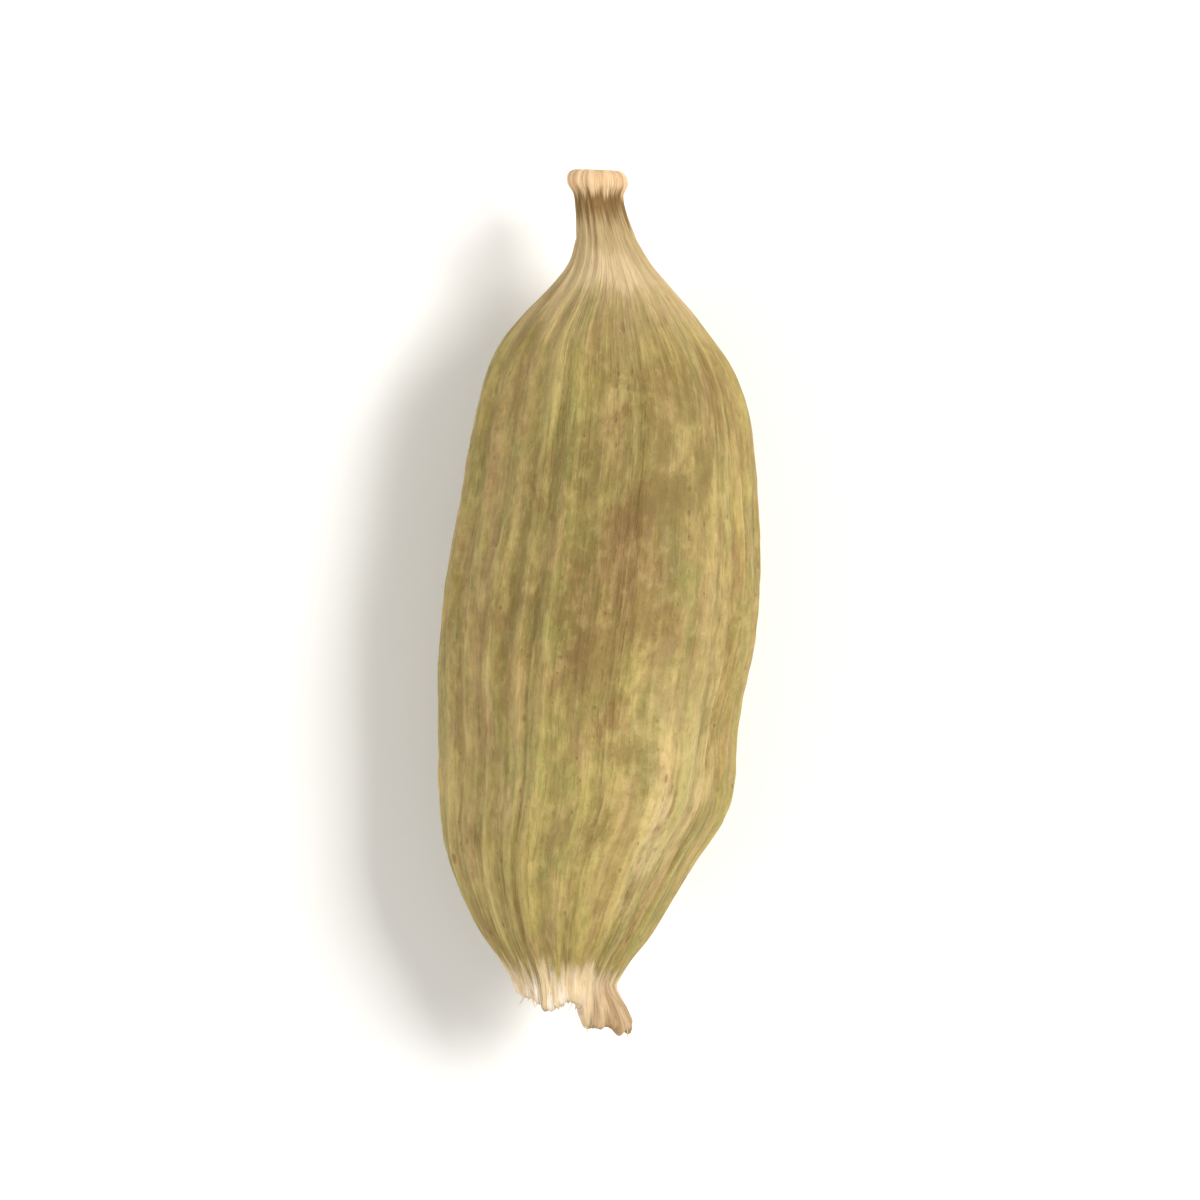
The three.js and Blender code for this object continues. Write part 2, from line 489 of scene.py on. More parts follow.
@dataclass(frozen=True)
class PodForm:
    """The rule that turns a ring and a place among the ribs into a point, in millimetres."""

    outline: Outline = Outline()
    ribs: Ribs = Ribs()
    rim: TornRim = TornRim()
    skin: SkinRelief = SkinRelief()
    rest: RestSpot = RestSpot()
    height_to_width: float = 0.95
    corner_relief: float = 0.085
    end_lift: float = 0.3
    twist: float = 7.0
    scar_radius: float = 0.34
    hollows: tuple[Hollow, ...] = (
        Hollow(at=9.9, turn=-16, length=2.6, width=1.3, depth=0.08),
        Hollow(at=4.4, turn=-62, length=2.0, width=1.2, depth=0.1),
        Hollow(at=12.2, turn=62, length=1.5, width=1.0, depth=0.1),
        Hollow(at=5.8, turn=76, length=1.8, width=1.0, depth=0.09),
        Hollow(at=11.3, turn=232, length=2.0, width=1.2, depth=0.1),
    )

    def pit(self, ring: Ring) -> float:
        """Return how far a ring is in the collar's pit, which gets painted shade, or in the scar on
        the beak's end.
        """
        if ring.section is Section.BEAK:
            return max(0.0, 1 - ring.radius / self.scar_radius)
        return float(ring.section is Section.PIT)

    def spot(self, ring: Ring, rib: float, rib_turn: float) -> SurfaceSpot:
        """Work out one point of the surface.

        Args:
            ring: The ring of the outline.
            rib: The place among the ribs, where whole numbers are crests.
            rib_turn: That place's turn about the pod at the middle of its length.

        Returns:
            The point, before the pod is settled on its belly.
        """
        at, radius, belly = ring.at, ring.radius, self.outline.belly_radius
        along = at / self.outline.length
        turn = rib_turn + (along - 0.5) * self.twist
        round_ribs = 2 * math.pi * rib / self.ribs.count
        fibre = Vector((belly * math.cos(round_ribs), belly * math.sin(round_ribs), at))
        back, out = self.rim.reach(at, turn)
        reach = radius + (out if radius > 0 else 0.0)
        crest = vein = 0.0
        if ring.section is not Section.PIT:
            slim = radius / belly
            crest, vein = self.ribs.crest(rib, at), self.skin.vein(fibre)
            corner = math.cos(2 * math.pi * rib / self.ribs.per_side)
            ribbed = slim**self.ribs.taper * crest * (1 - self.rest.smoothing(at, turn))
            reach += self.corner_relief * radius * math.sqrt(slim) * corner
            reach += self.ribs.height * (ribbed - slim * self.ribs.mean_crest)
            reach -= sum(hollow.depth_at(at, turn, radius) for hollow in self.hollows)
            reach += self.skin.height(fibre, slim, crest, vein)
        radians = math.radians(turn)
        place = Vector((
            at - back,
            -reach * math.sin(radians) - between(self.outline.spine, at),
            self.height_to_width * reach * math.cos(radians) + self.end_lift * (2 * along - 1) ** 2,
        ))
        return SurfaceSpot(place, fibre, crest, vein, self.pit(ring))


def new_piece(
    name: str, shape: bmesh.types.BMesh, material: bpy.types.Material
) -> bpy.types.Object:
    """Turn a bmesh into a smooth shaded object at the origin that rides on the pod's body.

    Args:
        name: The piece's name.
        shape: The shape, in metres, which is freed.
        material: The piece's finish.

    Returns:
        The new object.
    """
    mesh = bpy.data.meshes.new(name)
    shape.to_mesh(mesh)
    shape.free()
    mesh.shade_smooth()
    mesh.materials.append(material)
    piece = bpy.data.objects.new(name, mesh)
    bpy.context.scene.collection.objects.link(piece)
    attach(piece, BODY)
    LOG.info("%s: %d vertices, %d faces", name, len(mesh.vertices), len(mesh.polygons))
    return piece


def to_place(shape: bmesh.types.BMesh, shift: Vector) -> None:
    """Move a shape that is in millimetres to its place, and turn it into metres."""
    bmesh.ops.translate(shape, verts=shape.verts, vec=shift)
    bmesh.ops.scale(shape, verts=shape.verts, vec=(MM, MM, MM))


@dataclass(frozen=True)
class Husk:
    """The pod's husk with its collar and beak, one closed surface."""

    form: PodForm
    steps: int = 384
    merge_distance: float = 1e-5

    def build(self, material: bpy.types.Material) -> Vector:
        """Make the husk from a grid whose points are moved onto the ribbed form and joined up.

        The husk replaces the plain solid.

        Args:
            material: The husk's finish.

        Returns:
            How far the husk was moved to its place, in millimetres.
        """
        rings = self.form.outline.rings()
        shape = bmesh.new()
        bands = len(rings) - 1
        bmesh.ops.create_grid(shape, x_segments=self.steps, y_segments=bands, size=0.5)
        fibre_layer = shape.verts.layers.float_vector.new(FIBRE_ATTRIBUTE)
        crest_layer = shape.verts.layers.float.new(CREST_ATTRIBUTE)
        vein_layer = shape.verts.layers.float.new(VEIN_ATTRIBUTE)
        pit_layer = shape.verts.layers.float.new(PIT_ATTRIBUTE)
        ribs = [step / self.steps * self.form.ribs.count for step in range(self.steps)]
        turns = [self.form.ribs.turn(rib) for rib in ribs]
        for vert in shape.verts:
            ring = rings[round((vert.co.y + 0.5) * bands)]
            step = round((vert.co.x + 0.5) * self.steps) % self.steps
            spot = self.form.spot(ring, ribs[step], turns[step])
            vert.co = spot.place
            vert[fibre_layer] = spot.fibre
            vert[crest_layer] = spot.crest
            vert[vein_layer] = spot.vein
            vert[pit_layer] = spot.pit
        bmesh.ops.remove_doubles(shape, verts=shape.verts, dist=self.merge_distance)
        bmesh.ops.recalc_face_normals(shape, faces=shape.faces)
        shift = self.settle(shape)
        to_place(shape, shift)
        husk = new_piece("husk", shape, material)
        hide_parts(CAD_NODE)
        return shift

    def settle(self, shape: bmesh.types.BMesh) -> Vector:
        """Press the husk's belly flat and find the way to the plain solid's place.

        Args:
            shape: The husk's mesh, in millimetres.

        Returns:
            How far it has to move, in millimetres.
        """
        low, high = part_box(CAD_NODE)
        floor = min(v.co.z for v in shape.verts) + self.form.rest.depth
        for vert in shape.verts:
            vert.co.z = max(vert.co.z, floor)
        tip = max(v.co.x for v in shape.verts)
        sides = [v.co.y for v in shape.verts]
        middle = (low.y + high.y) / 2 / MM
        return Vector((
            high.x / MM - tip, middle - (min(sides) + max(sides)) / 2, low.z / MM - floor,
        ))


@dataclass(frozen=True)
class RimFibres:
    """The torn ends of the stalk's fibres, which stand on the collar's rim, in millimetres.

    The bends are how far a fibre's tip swings, as shares of its length.
    """

    form: PodForm
    count: int = 26
    rim_radius: float = 0.86
    root_depth: float = 0.1
    shortest: float = 0.1
    longest: float = 0.36
    thinnest: float = 0.022
    thickest: float = 0.05
    flatness: float = 0.4
    tip_width: float = 0.15
    sides: int = 8
    bands: int = 10
    outward_bend: float = 0.5
    inward_bend: float = 0.1
    sideways_bend: float = 0.5

    def build(self, material: bpy.types.Material, shift: Vector) -> bpy.types.Object:
        """Make every fibre from a stretched and bent ball.

        Args:
            material: The husk's finish.
            shift: How far the husk was moved to its place, in millimetres.

        Returns:
            The fibres, as one object.
        """
        shape = bmesh.new()
        fibre_layer = shape.verts.layers.float_vector.new(FIBRE_ATTRIBUTE)
        rim = Ring(0.0, self.rim_radius, Section.RIM)
        for index in range(self.count):
            place = index + draw(index, Draw.FIBRE_PLACE)
            rib = place * self.form.ribs.count / self.count
            root = self.form.spot(rim, rib, self.form.ribs.turn(rib))
            ball = bmesh.ops.create_uvsphere(
                shape, u_segments=self.sides, v_segments=self.bands, radius=0.5
            )
            for vert in ball["verts"]:
                vert[fibre_layer] = root.fibre
                vert.co = root.place + self.bent(vert.co.copy(), index, rib)
        to_place(shape, shift)
        return new_piece("rim_fibres", shape, material)

    def bent(self, point: Vector, index: int, rib: float) -> Vector:
        """Return where a point of the ball goes, from the fibre's root.

        Args:
            point: The ball's point, from -0.5 to 0.5 along the fibre.
            index: Which fibre.
            rib: The fibre's place among the ribs.

        Returns:
            The offset from the root, in millimetres.
        """
        radians = math.radians(self.form.ribs.turn(rib) - self.form.twist / 2)
        outward = Vector((0, -math.sin(radians), math.cos(radians)))
        sideways = Vector((0, math.cos(radians), math.sin(radians)))
        tall, stout = draw(index, Draw.FIBRE_LENGTH) ** 2, draw(index, Draw.FIBRE_THICKNESS)
        length = self.shortest + (self.longest - self.shortest) * tall
        thick = self.thinnest + (self.thickest - self.thinnest) * stout
        share = point.z + 0.5
        taper = 2 * thick * (1 + self.tip_width - share)
        curve = length * share * share
        flare = curve * (self.outward_bend * draw(index, Draw.FIBRE_FLARE) - self.inward_bend)
        swing = curve * self.sideways_bend * (2 * draw(index, Draw.FIBRE_SWING) - 1)
        return (
            Vector((self.root_depth - length * share, 0, 0))
            + outward * (flare + point.y * taper * self.flatness)
            + sideways * (swing + point.x * taper)
        )


class Wiring:
    """Adds and links shader nodes in one node tree."""

    def __init__(self, tree: bpy.types.NodeTree) -> None:
        """Start wiring a tree."""
        self.tree = tree

    def node(
        self, kind: str, inputs: Mapping[str | int, Fed] | None = None, **settings: object
    ) -> bpy.types.Node:
        """Add a node.

        Args:
            kind: Its Blender type.
            inputs: Socket names or numbers, each with a value or a socket to link from.
            settings: Attributes to set on the node.

        Returns:
            The new node.
        """
        made = self.tree.nodes.new(kind)
        for name, value in settings.items():
            setattr(made, name, value)
        for name, value in (inputs or {}).items():
            self.feed(made.inputs[name], value)
        return made

    def feed(self, socket: Socket, value: Fed) -> None:
        """Link a socket from another one, or set its value."""
        if isinstance(value, Socket):
            self.tree.links.new(value, socket)
        else:
            socket.default_value = value

    def calc(self, operation: str, *values: Fed, clamp: bool = False) -> Socket:
        """Return the result of a Math node on one to three values."""
        inputs = dict(enumerate(values))
        return self.node("ShaderNodeMath", inputs, operation=operation, use_clamp=clamp).outputs[0]

    def vector_calc(self, operation: str, *values: Fed) -> bpy.types.Node:
        """Add a Vector Math node on one or two vectors."""
        return self.node("ShaderNodeVectorMath", dict(enumerate(values)), operation=operation)

    def mix(self, share: Fed, under: Fed, over: Fed) -> Socket:
        """Return one colour laid over another by a share."""
        # A Mix node's sockets 6 and 7 and its output 2 are the ones for colours.
        made = self.node("ShaderNodeMix", {0: share, 6: under, 7: over}, data_type="RGBA")
        return made.outputs[2]

    def rise(self, value: Fed, low: float, high: float) -> Socket:
        """Return a smooth rise from 0 at low to 1 at high."""
        inputs = {"Value": value, "From Min": low, "From Max": high}
        return self.node("ShaderNodeMapRange", inputs, interpolation_type="SMOOTHSTEP").outputs[0]


class Effect(Enum):
    """The shared effects, each a node group that gives one value over the surface."""

    GRAIN = "fibre grain"
    PATCHES = "patches"
    SPECKS = "specks"


class EffectGroups:
    """Builds each shared effect once and places it in materials."""

    GRAIN_RANGE = (0.28, 0.72)
    SMALLEST_SPECK = 0.4
    SPECK_EDGE = 0.6

    def __init__(self) -> None:
        """Build every effect's node group."""
        self.groups = {
            Effect.GRAIN: self.grain(),
            Effect.PATCHES: self.patches(),
            Effect.SPECKS: self.specks(),
        }

    @staticmethod
    def start(
        effect: Effect, values: Mapping[str, float]
    ) -> tuple[Wiring, bpy.types.Node, bpy.types.Node]:
        """Start a group that takes a place and some numbers and puts out one value.

        Args:
            effect: Which effect it is for.
            values: Its number inputs and their defaults.

        Returns:
            The group's wiring, its input node and its output node.
        """
        tree = bpy.data.node_groups.new(effect.value, "ShaderNodeTree")
        tree.interface.new_socket("Place", in_out="INPUT", socket_type="NodeSocketVector")
        for key, value in values.items():
            socket = tree.interface.new_socket(key, in_out="INPUT", socket_type="NodeSocketFloat")
            socket.default_value = value
        tree.interface.new_socket("Value", in_out="OUTPUT", socket_type="NodeSocketFloat")
        w = Wiring(tree)
        return w, w.node("NodeGroupInput"), w.node("NodeGroupOutput")

    @staticmethod
    def stretched(w: Wiring, source: bpy.types.Node) -> Socket:
        """Return the place scaled by Across around the pod and by Along down its length."""
        across, along = source.outputs["Across"], source.outputs["Along"]
        scale = w.node("ShaderNodeCombineXYZ", {"X": across, "Y": across, "Z": along})
        return w.vector_calc("MULTIPLY", source.outputs["Place"], scale.outputs[0]).outputs[0]

    def grain(self) -> bpy.types.NodeTree:
        """Return streaks that run along the pod, from 0 to 1."""
        w, source, result = self.start(Effect.GRAIN, {"Across": 5.0, "Along": 0.3, "Detail": 3.0})
        streaks = w.node("ShaderNodeTexNoise", {
            "Vector": self.stretched(w, source), "Scale": 1.0, "Detail": source.outputs["Detail"],
            "Roughness": 0.6,
        })
        w.feed(result.inputs[0], w.rise(streaks.outputs[0], *self.GRAIN_RANGE))
        return w.tree

    def patches(self) -> bpy.types.NodeTree:
        """Return a mask of soft uneven patches; a lower threshold makes them cover more."""
        w, source, result = self.start(
            Effect.PATCHES, {"Across": 0.5, "Along": 0.3, "Threshold": 0.55, "Softness": 0.12}
        )
        cloud = w.node("ShaderNodeTexNoise", {
            "Vector": self.stretched(w, source), "Scale": 1.0, "Detail": 5.0, "Roughness": 0.62,
            "Distortion": 0.4,
        })
        over = w.calc("SUBTRACT", cloud.outputs[0], source.outputs["Threshold"])
        share = w.calc("ADD", w.calc("DIVIDE", over, source.outputs["Softness"]), 0.5, clamp=True)
        w.feed(result.inputs[0], w.rise(share, 0.0, 1.0))
        return w.tree

    def specks(self) -> bpy.types.NodeTree:
        """Return a mask of small round specks, only in the cells that a share keeps."""
        w, source, result = self.start(
            Effect.SPECKS, {"Across": 2.0, "Along": 1.6, "Radius": 0.16, "Share": 0.3}
        )
        cells = w.node("ShaderNodeTexVoronoi", {"Vector": self.stretched(w, source), "Scale": 1.0})
        chance = w.node("ShaderNodeSeparateColor", {0: cells.outputs["Color"]})
        kept = w.calc("LESS_THAN", chance.outputs[0], source.outputs["Share"])
        size = w.calc("ADD", chance.outputs[1], self.SMALLEST_SPECK)
        radius = w.calc("MULTIPLY", source.outputs["Radius"], size)
        outside = w.calc("DIVIDE", cells.outputs["Distance"], radius)
        inside = w.calc("SUBTRACT", 1.0, outside, clamp=True)
        w.feed(result.inputs[0], w.calc("MULTIPLY", w.rise(inside, 0.0, self.SPECK_EDGE), kept))
        return w.tree

    def place(
        self, w: Wiring, effect: Effect, place: Socket, values: Mapping[str, float]
    ) -> Socket:
        """Place an effect in a material.

        Args:
            w: The material's wiring.
            effect: Which effect.
            place: The surface's place vector.
            values: The effect's own numbers.

        Returns:
            The effect's value over the surface.
        """
        made = w.node("ShaderNodeGroup", node_tree=self.groups[effect])
        for key, value in {"Place": place, **values}.items():
            w.feed(made.inputs[key], value)
        return made.outputs[0]


def start_material(
    name: str, specular_level: float
) -> tuple[bpy.types.Material, Wiring, bpy.types.Node]:
    """Start a material on an empty tree.

    Args:
        name: The material's name.
        specular_level: How strong its faint shine is.

    Returns:
        The material, its wiring and its Principled shader.
    """
    material = bpy.data.materials.new(name)
    material.use_nodes = True
    material.node_tree.nodes.clear()
    w = Wiring(material.node_tree)
    shader = w.node("ShaderNodeBsdfPrincipled", {"Specular IOR Level": specular_level})
    w.node("ShaderNodeOutputMaterial", {"Surface": shader.outputs[0]})
    return material, w, shader


class Mark(Enum):
    """What the husk's finish can read at each place of the surface."""

    CREST = CREST_ATTRIBUTE
    VEIN = VEIN_ATTRIBUTE
    PIT = PIT_ATTRIBUTE
    ALONG = "along"
    BROAD = "broad"
    ZONES = "zones"
    STREAK = "streak"
    HAIR = "hair"
    GRIT = "grit"
    CLOUD = "cloud"
    CREASES = "creases"
    MOTTLE = "mottle"
    MOSS = "moss"
    BLUSH = "blush"
    SCUFF = "scuff"
    SPECKS = "specks"
    PORES = "pores"


EFFECT_MARKS: tuple[tuple[Effect, tuple[str, ...], dict[Mark, tuple[float, ...]]], ...] = (
    (Effect.GRAIN, ("Across", "Along", "Detail"), {
        Mark.BROAD: (0.9, 0.14, 2.0),
        Mark.ZONES: (0.62, 0.34, 1.0),
        Mark.STREAK: (4.5, 0.32, 4.0),
        Mark.HAIR: (12.0, 0.8, 3.0),
        Mark.GRIT: (6.0, 3.2, 4.0),
        Mark.CLOUD: (1.4, 0.8, 5.0),
        Mark.CREASES: (1.6, 4.5, 4.0),
    }),
    (Effect.PATCHES, ("Across", "Along", "Threshold", "Softness"), {
        Mark.MOTTLE: (0.9, 0.5, 0.54, 0.2),
        Mark.MOSS: (1.25, 0.5, 0.53, 0.14),
        Mark.BLUSH: (1.6, 0.6, 0.55, 0.12),
        Mark.SCUFF: (1.9, 0.9, 0.62, 0.08),
    }),
    (Effect.SPECKS, ("Across", "Along", "Radius", "Share"), {
        Mark.SPECKS: (1.7, 1.2, 0.17, 0.28),
        Mark.PORES: (5.0, 3.4, 0.2, 0.4),
    }),
)


@dataclass(frozen=True)
class Surface:
    """A material's wiring, the pod's form, the place on the unrolled pod and its marks there."""

    w: Wiring
    form: PodForm
    fibre: Socket
    marks: Mapping[Mark, Socket]

    @classmethod
    def read(cls, w: Wiring, form: PodForm, effects: EffectGroups) -> "Surface":
        """Wire up the husk's attributes and the shared effects.

        Args:
            w: The material's wiring.
            form: The pod's form.
            effects: The shared effects.

        Returns:
            The surface that a finish reads.
        """
        fibre = w.node("ShaderNodeAttribute", attribute_name=FIBRE_ATTRIBUTE).outputs["Vector"]
        marks = {Mark.ALONG: w.node("ShaderNodeSeparateXYZ", {0: fibre}).outputs[2]}
        for mark in (Mark.CREST, Mark.VEIN, Mark.PIT):
            attribute = w.node("ShaderNodeAttribute", attribute_name=mark.value)
            marks[mark] = attribute.outputs["Fac"]
        for effect, names, rows in EFFECT_MARKS:
            for mark, values in rows.items():
                marks[mark] = effects.place(w, effect, fibre, dict(zip(names, values)))
        return cls(w, form, fibre, marks)

    def sum(self, weights: Sequence[tuple[Mark, float]], base: float) -> Socket:
        """Add some marks to a base value.

        Args:
            weights: The marks, each with its weight.
            base: The base value.

        Returns:
            The sum.
        """
        total: Fed = base
        for mark, weight in weights:
            total = self.w.calc("MULTIPLY_ADD", self.marks[mark], weight, total)
        return total


@dataclass(frozen=True)
class Layer:
    """A colour laid over the husk where a mark is strong, at most by a share.

    The mark is read as it is, or as a rise from 0 at one value to 1 at another. Where a second
    mark breaks the layer up, its share falls to the weak one as that mark falls to 0.
    """

    mark: Mark
    colour: Colour
    share: float = 1.0
    rise: tuple[float, float] | None = None
    broken_by: Mark | None = None
    weak: float = 0.0

    def over(self, surface: Surface, colour: Fed) -> Socket:
        """Lay this layer over a colour.

        Args:
            surface: What the finish reads.
            colour: The colour under the layer.

        Returns:
            The colour.
        """
        w, mark, share = surface.w, surface.marks[self.mark], self.share
        if self.rise:
            mark = w.rise(mark, *self.rise)
        if self.broken_by:
            breaks = surface.marks[self.broken_by]
            share = w.calc("MULTIPLY_ADD", breaks, self.share - self.weak, self.weak)
        return w.mix(w.calc("MULTIPLY", mark, share), colour, self.colour)


@dataclass(frozen=True)
class Band:
    """A colour that starts at one distance from the stalk end and is full at another."""

    start: float
    full: float
    ragged: float
    share: float = 1.0

    def over(self, surface: Surface, colour: Socket, band_colour: Fed, uneven: Socket) -> Socket:
        """Lay this band over a colour.

        Args:
            surface: What the finish reads.
            colour: The colour under the band.
            band_colour: The band's own colour.
            uneven: A value around 0 that makes the band's edge ragged.

        Returns:
            The colour.
        """
        w = surface.w
        place = w.calc("MULTIPLY_ADD", uneven, self.ragged, surface.marks[Mark.ALONG])
        share = w.calc("MULTIPLY", w.rise(place, self.start, self.full), self.share)
        return w.mix(share, colour, band_colour)


@dataclass(frozen=True)
class Tint:
    """A soft uneven patch of another colour, at a distance along the pod and a turn about it.

    The edge wanders with a mark, and fades from full inside to none outside, as shares of the
    patch's size.
    """

    colour: Colour
    at: float
    turn: float
    length: float
    width: float
    share: float
    wander: float = 1.3
    fade: tuple[float, float] = (1.5, 0.3)

    def over(self, surface: Surface, colour: Fed, ragged: Mark) -> Socket:
        """Lay this patch over a colour.

        Args:
            surface: What the finish reads.
            colour: The colour under the patch.
            ragged: The mark that the patch's edge wanders with.

        Returns:
            The colour.
        """
        w, form, belly = surface.w, surface.form, surface.form.outline.belly_radius
        turn = math.radians(self.turn - form.ribs.corners[0])
        middle = (belly * math.cos(turn), belly * math.sin(turn), self.at)
        size = (1 / self.width, 1 / self.width, 1 / self.length)
        offset = w.vector_calc("SUBTRACT", surface.fibre, middle).outputs[0]
        scaled = w.vector_calc("MULTIPLY", offset, size).outputs[0]
        distance = w.calc("ADD", w.vector_calc("LENGTH", scaled).outputs["Value"], self.wander / 2)
        uneven = w.calc("MULTIPLY_ADD", surface.marks[ragged], -self.wander, distance)
        share = w.calc("MULTIPLY", w.rise(uneven, *self.fade), self.share)
        return w.mix(share, colour, self.colour)


@dataclass(frozen=True)
class HuskFinish:
    """Dry ribbed husk: olive green, straw ribs, brown mottling, pale woody ends and a dark pit,
    with painted shade in the rib valleys and the pit, and painted highlights on the ribs and the
    lit side.
    """

    olive: Colour = (0.292, 0.228, 0.052, 1)
    sage: Colour = (0.355, 0.292, 0.08, 1)
    straw: Colour = (0.51, 0.382, 0.118, 1)
    umber: Colour = (0.29, 0.18, 0.055, 1)
    blush: Colour = (0.41, 0.26, 0.11, 1)
    moss: Colour = (0.262, 0.25, 0.062, 1)
    russet: Colour = (0.22, 0.12, 0.034, 1)
    shade: Colour = (0.16, 0.098, 0.024, 1)
    dust: Colour = (0.55, 0.42, 0.17, 1)
    cream: Colour = (0.74, 0.565, 0.345, 1)
    chalk: Colour = (0.90, 0.77, 0.62, 1)
    peach: Colour = (0.37, 0.23, 0.118, 1)
    cap_pale: Colour = (0.88, 0.64, 0.375, 1)
    cap_pink: Colour = (0.74, 0.46, 0.25, 1)
    neck_pale: Colour = (0.60, 0.44, 0.235, 1)
    neck_brown: Colour = (0.24, 0.13, 0.036, 1)
    # Dark brown for painted shade deep in the collar's pit and for the scar on the beak's end.
    pit_shade_and_scar_brown: Colour = (0.055, 0.024, 0.010, 1)
    tints: tuple[Tint, ...] = (
        Tint((0.215, 0.157, 0.042, 1), at=9.6, turn=6, length=4.8, width=2.1, share=0.55),
        Tint((0.24, 0.13, 0.044, 1), at=9.6, turn=8, length=1.9, width=1.0, share=0.8),
        Tint((0.30, 0.265, 0.072, 1), at=12.7, turn=-8, length=1.6, width=1.3, share=0.8),
        Tint((0.40, 0.33, 0.10, 1), at=5.0, turn=-10, length=2.4, width=1.4, share=0.5),
        # A pale straw patch on the lower right, on the lit side: its own colour and partly painted
        # highlight.
        Tint((0.72, 0.54, 0.26, 1), at=4.7, turn=44, length=2.9, width=1.3, share=0.8),
        Tint((0.50, 0.345, 0.15, 1), at=8.4, turn=-60, length=4.4, width=0.5, share=0.6),
        Tint((0.26, 0.21, 0.055, 1), at=9.4, turn=-30, length=3.6, width=0.3, share=0.6),
        Tint((0.60, 0.44, 0.165, 1), at=8.2, turn=44, length=3.6, width=0.8, share=0.45),
        Tint((0.55, 0.40, 0.15, 1), at=12.2, turn=64, length=1.3, width=0.7, share=0.6),
        Tint((0.53, 0.385, 0.135, 1), at=8.6, turn=66, length=1.6, width=0.6, share=0.5),
        Tint((0.30, 0.235, 0.062, 1), at=8.0, turn=-36, length=3.4, width=0.7, share=0.6),
        # Painted highlights: two thin pale lines along a rib on the left side.
        Tint((0.60, 0.48, 0.18, 1), at=5.2, turn=-49, length=3.2, width=0.17, share=0.8),
        Tint((0.56, 0.43, 0.17, 1), at=10.6, turn=-43, length=2.4, width=0.15, share=0.6),
        Tint((0.40, 0.265, 0.12, 1), at=12.0, turn=-62, length=2.6, width=0.5, share=0.6),
        Tint((0.52, 0.36, 0.165, 1), at=3.2, turn=-66, length=1.3, width=0.7, share=0.5),
        Tint((0.23, 0.14, 0.042, 1), at=13.0, turn=-50, length=1.1, width=0.45, share=0.6),
        Tint((0.40, 0.32, 0.095, 1), at=3.2, turn=-4, length=1.5, width=1.5, share=0.6),
        Tint((0.22, 0.135, 0.042, 1), at=7.4, turn=-8, length=0.8, width=0.4, share=0.6),
        Tint((0.27, 0.21, 0.06, 1), at=14.6, turn=-20, length=0.26, width=0.5, share=0.7),
        Tint((0.23, 0.175, 0.046, 1), at=13.1, turn=19, length=0.42, width=0.34, share=0.7),
    )
    skin: tuple[Layer, ...] = (
        # Paler straw on the rib crests: the ribs' own colour and partly painted highlight along
        # them.
        Layer(Mark.CREST, straw, 0.4, rise=(0.3, 0.95), broken_by=Mark.STREAK, weak=0.225),
        Layer(Mark.ZONES, straw, 0.34, rise=(0.5, 0.95)),
        Layer(Mark.ZONES, shade, 0.3, rise=(0.5, 0.05)),
        Layer(Mark.MOSS, moss, 0.6),
        Layer(Mark.BLUSH, blush, 0.56),
        Layer(Mark.MOTTLE, umber, 0.48),
        Layer(Mark.CLOUD, straw, 0.4, rise=(0.5, 1.0)),
        Layer(Mark.CLOUD, shade, 0.3, rise=(0.45, 0.0)),
        Layer(Mark.STREAK, shade, 0.12, rise=(0.55, 0.05)),
        # Painted shade: darker in the valleys between the ribs.
        Layer(Mark.CREST, shade, 0.28, rise=(0.3, 0.0)),
        Layer(Mark.VEIN, dust, 0.34, rise=(0.2, 0.9), broken_by=Mark.HAIR, weak=0.1),
        Layer(Mark.GRIT, dust, 0.27, rise=(0.5, 0.95)),
        Layer(Mark.GRIT, shade, 0.26, rise=(0.45, 0.05)),
        Layer(Mark.HAIR, dust, 0.12, rise=(0.55, 0.95)),
        Layer(Mark.HAIR, shade, 0.15, rise=(0.42, 0.05)),
    )
    stains_and_painted_glints: tuple[Tint, ...] = (
        # Darker stains first; the lighter patches after them are painted glints, highlights on the
        # husk.
        Tint((0.16, 0.098, 0.024, 1), at=10.2, turn=4, length=5.0, width=2.0, share=0.34),
        Tint((0.17, 0.105, 0.028, 1), at=11.2, turn=-26, length=0.6, width=0.9, share=0.5),
        Tint((0.17, 0.095, 0.028, 1), at=9.95, turn=4, length=0.8, width=0.8, share=0.52),
        Tint((0.17, 0.115, 0.030, 1), at=11.8, turn=3, length=1.4, width=0.8, share=0.36),
        Tint((0.17, 0.100, 0.028, 1), at=7.6, turn=5, length=0.6, width=0.7, share=0.36),
        Tint((0.17, 0.115, 0.030, 1), at=8.1, turn=-24, length=0.55, width=0.7, share=0.3),
        Tint((0.19, 0.135, 0.034, 1), at=10.5, turn=31, length=1.9, width=0.9, share=0.42),
        Tint((0.20, 0.145, 0.044, 1), at=4.7, turn=-60, length=1.0, width=0.7, share=0.34),
        # Painted glints: lighter patches that stand in for highlights, the last two on the lower
        # right where the window light falls.
        Tint((0.58, 0.46, 0.19, 1), at=12.9, turn=-29, length=0.9, width=0.8, share=0.3),
        Tint((0.62, 0.50, 0.21, 1), at=4.8, turn=-24, length=1.4, width=0.8, share=0.34),
        Tint((0.56, 0.45, 0.18, 1), at=9.7, turn=-26, length=0.6, width=0.6, share=0.28),
        Tint((0.58, 0.46, 0.20, 1), at=13.8, turn=6, length=0.5, width=0.8, share=0.18),
        Tint((0.76, 0.60, 0.31, 1), at=6.4, turn=32, length=0.9, width=0.7, share=0.14),
        Tint((0.78, 0.62, 0.34, 1), at=3.3, turn=38, length=1.2, width=0.8, share=0.44),
    )
    spots: tuple[Layer, ...] = (
        Layer(Mark.SCUFF, russet, 0.36),
        Layer(Mark.SPECKS, russet, 0.7),
        Layer(Mark.PORES, shade, 0.35),
    )
    collar_band: Band = Band(start=1.12, full=0.5, ragged=0.8, share=0.95)
    collar_chalk: Layer = Layer(Mark.CLOUD, chalk, rise=(0.35, 0.7))
